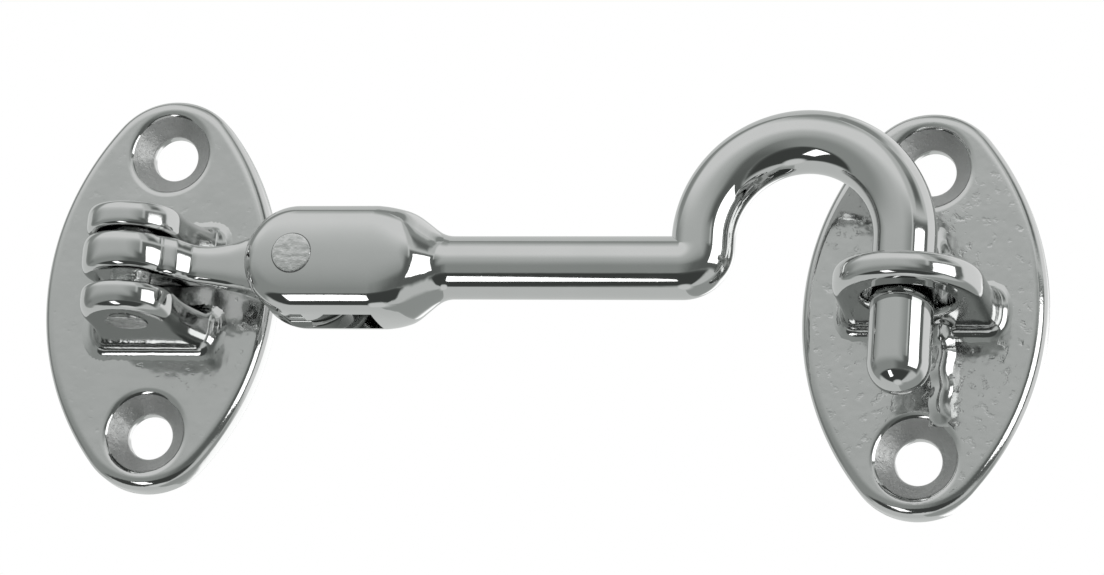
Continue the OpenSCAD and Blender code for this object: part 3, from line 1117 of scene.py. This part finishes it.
def direction(azimuth: float, elevation: float) -> Vector:
    """The unit vector of a direction.

    Args:
        azimuth: Degrees, 0 towards the viewer's side, -Y, and 90 towards +X.
        elevation: Degrees above the horizon.

    Returns:
        The vector.
    """
    a, e = math.radians(azimuth), math.radians(elevation)
    return Vector((math.sin(a) * math.cos(e), -math.cos(a) * math.cos(e), math.sin(e)))


@dataclass
class Studio:
    """White surroundings, a grey room in the metal's reflections, and two soft boxes.

    Attributes:
        base: Brightness of the room where no panel is.
        tint: Its colour where it is dark.
        aim: The point that the soft boxes face, in metres.
        distance: How far off they stand, in metres.
        floor_half: Half the floor's side, in metres.
        floor_z: The floor's height, in metres.
        panels: The room's panels; a later one lies over an earlier one.
    """

    base: float = 0.72
    tint: tuple[float, ...] = (0.925, 1.0, 0.95, 1.0)
    aim: tuple[float, float, float] = (0.039, -0.01, 0.0)
    distance: float = 0.9
    floor_half: float = 3.0
    floor_z: float = -0.95
    panels: tuple[Panel, ...] = (
        Panel(-110, 34, -38, 44, 0.37, 5, 10),
        Panel(-106, -82, -16, 16, 0.26, 14, 10),
        Panel(-80, 16, 4, 60, 0.62, 42, 30),
        Panel(-88, 38, 26, 95, 0.92, 16, 22),
        Panel(-88, 38, 72, 95, 0.45, 16, 20),
        Panel(36, 58, 30, 95, 0.66, 14, 12),
        Panel(-122, -98, 22, 78, 0.34, 9, 9),
        Panel(-84, 62, -77, -34, 0.07, 14, 6),
        Panel(0, 60, -36, -8, 0.17, 30, 14),
        Panel(26, 96, -31, 12, 0.15, 18, 8),
        Panel(39, 96, 0, 23, 0.18, 5, 5),
        Panel(98, 182, -14, 58, 0.95, 8, 10),
        Panel(150, 182, -16, 15, 1.5, 8, 8),
        Panel(56, 84, 30, 66, 0.36, 12, 12),
        Panel(58, 78, 32, 46, 0.17, 12, 10),
        Panel(104, 182, -76, -18, 0.42, 16, 12),
        Panel(-182, 182, -95, -80, 0.84, 7, 4),
        Panel(-182, -72, 75, 95, 0.36, 8, 8),
        Panel(70, 182, 68, 95, 0.34, 9, 9),
    )

    def build_world(self) -> None:
        """White to the camera; to reflections, the base level with each panel mixed over it.

        With a the azimuth and e the elevation of a direction, a panel covers it by how far
        both (|a - middle| - half width) / soft and (|e - middle| - half height) / fade
        are below a half.
        """
        world = bpy.data.worlds.new("studio")
        bpy.context.scene.world = world
        world.use_nodes = True
        tree = world.node_tree
        tree.nodes.clear()
        link = tree.links.new

        def vector(
            operation: str, source: bpy.types.NodeSocket, value: tuple[float, ...] = (0.0, 0.0, 0.0)
        ) -> bpy.types.NodeSocket:
            """Does a vector operation with a fixed second vector.

            Args:
                operation: Its name.
                source: The first vector.
                value: The second vector.

            Returns:
                The result.
            """
            made = tree.nodes.new("ShaderNodeVectorMath")
            made.operation = operation
            made.inputs[1].default_value = value
            link(source, made.inputs[0])
            return made.outputs[0]

        def number(
            operation: str, first: bpy.types.NodeSocket, second: bpy.types.NodeSocket | float = 0.0
        ) -> bpy.types.NodeSocket:
            """Does a number operation.

            Args:
                operation: Its name.
                first: The first number.
                second: The second, as a socket or fixed.

            Returns:
                The result.
            """
            made = tree.nodes.new("ShaderNodeMath")
            made.operation = operation
            link(first, made.inputs[0])
            if isinstance(second, float):
                made.inputs[1].default_value = second
            else:
                link(second, made.inputs[1])
            return made.outputs[0]

        place = tree.nodes.new("ShaderNodeTexCoord")
        split = tree.nodes.new("ShaderNodeSeparateXYZ")
        link(place.outputs["Generated"], split.inputs[0])
        azimuth = number("ARCTAN2", split.outputs[0], number("MULTIPLY", split.outputs[1], -1.0))
        angles = tree.nodes.new("ShaderNodeCombineXYZ")
        link(azimuth, angles.inputs[0])
        link(number("ARCSINE", split.outputs[2]), angles.inputs[1])
        degrees = vector("MULTIPLY", angles.outputs[0], (math.degrees(1.0), math.degrees(1.0), 0.0))
        level = None
        for panel in self.panels:
            middle = ((panel.west + panel.east) / 2, (panel.low + panel.high) / 2, 0.0)
            half = ((panel.east - panel.west) / 2, (panel.high - panel.low) / 2, 0.0)
            past = vector("SUBTRACT", vector("ABSOLUTE", vector("SUBTRACT", degrees, middle)), half)
            past = vector("DIVIDE", past, (panel.soft, panel.fade, 1.0))
            sides = tree.nodes.new("ShaderNodeSeparateXYZ")
            link(past, sides.inputs[0])
            cover = tree.nodes.new("ShaderNodeMapRange")
            cover.interpolation_type = "SMOOTHSTEP"
            cover.inputs["From Min"].default_value = 0.5
            cover.inputs["From Max"].default_value = -0.5
            link(number("MAXIMUM", sides.outputs[0], sides.outputs[1]), cover.inputs["Value"])
            mix = tree.nodes.new("ShaderNodeMix")
            mix.inputs[2].default_value = self.base
            mix.inputs[3].default_value = panel.level
            link(cover.outputs[0], mix.inputs[0])
            if level is not None:
                link(level, mix.inputs[2])
            level = mix.outputs[0]
        colour = tree.nodes.new("ShaderNodeMix")
        colour.data_type = "RGBA"
        colour.inputs["A"].default_value = self.tint
        colour.inputs["B"].default_value = (1.0, 1.0, 1.0, 1.0)
        link(level, colour.inputs["Factor"])
        room = tree.nodes.new("ShaderNodeBackground")
        link(colour.outputs["Result"], room.inputs["Color"])
        link(level, room.inputs["Strength"])
        white = tree.nodes.new("ShaderNodeBackground")
        white.inputs["Color"].default_value = (1.0, 1.0, 1.0, 1.0)
        rays = tree.nodes.new("ShaderNodeLightPath")
        choose = tree.nodes.new("ShaderNodeMixShader")
        link(rays.outputs["Is Glossy Ray"], choose.inputs[0])
        link(white.outputs[0], choose.inputs[1])
        link(room.outputs[0], choose.inputs[2])
        out = tree.nodes.new("ShaderNodeOutputWorld")
        link(choose.outputs[0], out.inputs[0])

    def add_box(
        self, name: str, azimuth: float, elevation: float, width: float, height: float, radiance: float
    ) -> None:
        """A rectangular soft box that faces the latch.

        Args:
            name: The lamp's name.
            azimuth: Its direction from the latch, in degrees.
            elevation: The same, above the horizon.
            width: Its width in metres.
            height: Its height in metres.
            radiance: Its brightness, where 1 is white; the power is radiance * pi * area.
        """
        lamp = bpy.data.lights.new(name, "AREA")
        lamp.shape = "RECTANGLE"
        lamp.size, lamp.size_y = width, height
        lamp.energy = radiance * math.pi * width * height
        where = direction(azimuth, elevation)
        thing = bpy.data.objects.new(name, lamp)
        turn = where.to_track_quat("Z", "Y").to_matrix().to_4x4()
        thing.matrix_world = Matrix.Translation(Vector(self.aim) + where * self.distance) @ turn
        thing.visible_camera = False
        bpy.context.scene.collection.objects.link(thing)

    def build_floor(self) -> None:
        """A pale floor well under the latch, which stays out of its reflections."""
        mesh = bpy.data.meshes.new("floor")
        a, z = self.floor_half, self.floor_z
        mesh.from_pydata([(-a, -a, z), (a, -a, z), (a, a, z), (-a, a, z)], [], [(0, 1, 2, 3)])
        floor = bpy.data.objects.new("floor", mesh)
        bpy.context.scene.collection.objects.link(floor)
        mat = bpy.data.materials.new("pale_floor")
        mat.use_nodes = True
        paint = mat.node_tree.nodes["Principled BSDF"]
        paint.inputs["Base Color"].default_value = (0.9, 0.9, 0.9, 1.0)
        paint.inputs["Roughness"].default_value = 0.8
        mesh.materials.append(mat)
        floor.visible_glossy = False

    def build(self) -> None:
        """World, soft boxes and floor."""
        self.build_world()
        self.add_box("softbox_right", 64.5, -1.0, 0.58, 0.62, 2.2)
        self.add_box("softbox_low", -30.0, -51.0, 0.19, 0.37, 2.2)
        self.build_floor()


@dataclass
class View:
    """The camera, below and to the right of the latch as in the photograph.

    Attributes:
        place: Where it stands, in metres.
        yaw: Degrees to the right of straight on.
        pitch: Degrees below.
        roll: Degrees that it is turned about its own axis.
        focal: Focal length in pixels of a frame that is frame_width wide.
        frame_width: The frame's width in pixels.
        sensor: The sensor's width in millimetres.
    """

    place: tuple[float, float, float] = (0.1587, -0.4646, -0.1342)
    yaw: float = 14.29
    pitch: float = 15.79
    roll: float = 4.09
    focal: float = 4982.9
    frame_width: float = 1104.0
    sensor: float = 36.0

    def build(self) -> None:
        """Camera axes: back from yaw and pitch, right level, both turned by the roll."""
        y, p, r = (math.radians(v) for v in (self.yaw, self.pitch, self.roll))
        back = Vector((math.sin(y) * math.cos(p), -math.cos(y) * math.cos(p), -math.sin(p)))
        right = Vector((math.cos(y), math.sin(y), 0.0))
        up = back.cross(right)
        x = math.cos(r) * right + math.sin(r) * up
        z = -math.sin(r) * right + math.cos(r) * up
        data = bpy.data.cameras.new("camera")
        data.sensor_width = self.sensor
        data.lens = self.focal * self.sensor / self.frame_width
        data.clip_start, data.clip_end = 0.01, 20.0
        camera = bpy.data.objects.new("camera", data)
        camera.matrix_world = Matrix.Translation(self.place) @ Matrix((x, z, back)).transposed().to_4x4()
        bpy.context.scene.collection.objects.link(camera)
        bpy.context.scene.camera = camera


def main() -> None:
    """Builds camera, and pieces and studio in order."""
    logging.basicConfig(level=logging.INFO, format="%(name)s: %(message)s")
    View().build()
    HingePlate().build()
    SwivelLink().build()
    HookArm().build()
    KeeperPlate().build()
    Studio().build()
    bpy.context.scene.view_settings.view_transform = "Standard"
    bpy.context.view_layer.update()


if __name__ == "__main__":
    main()
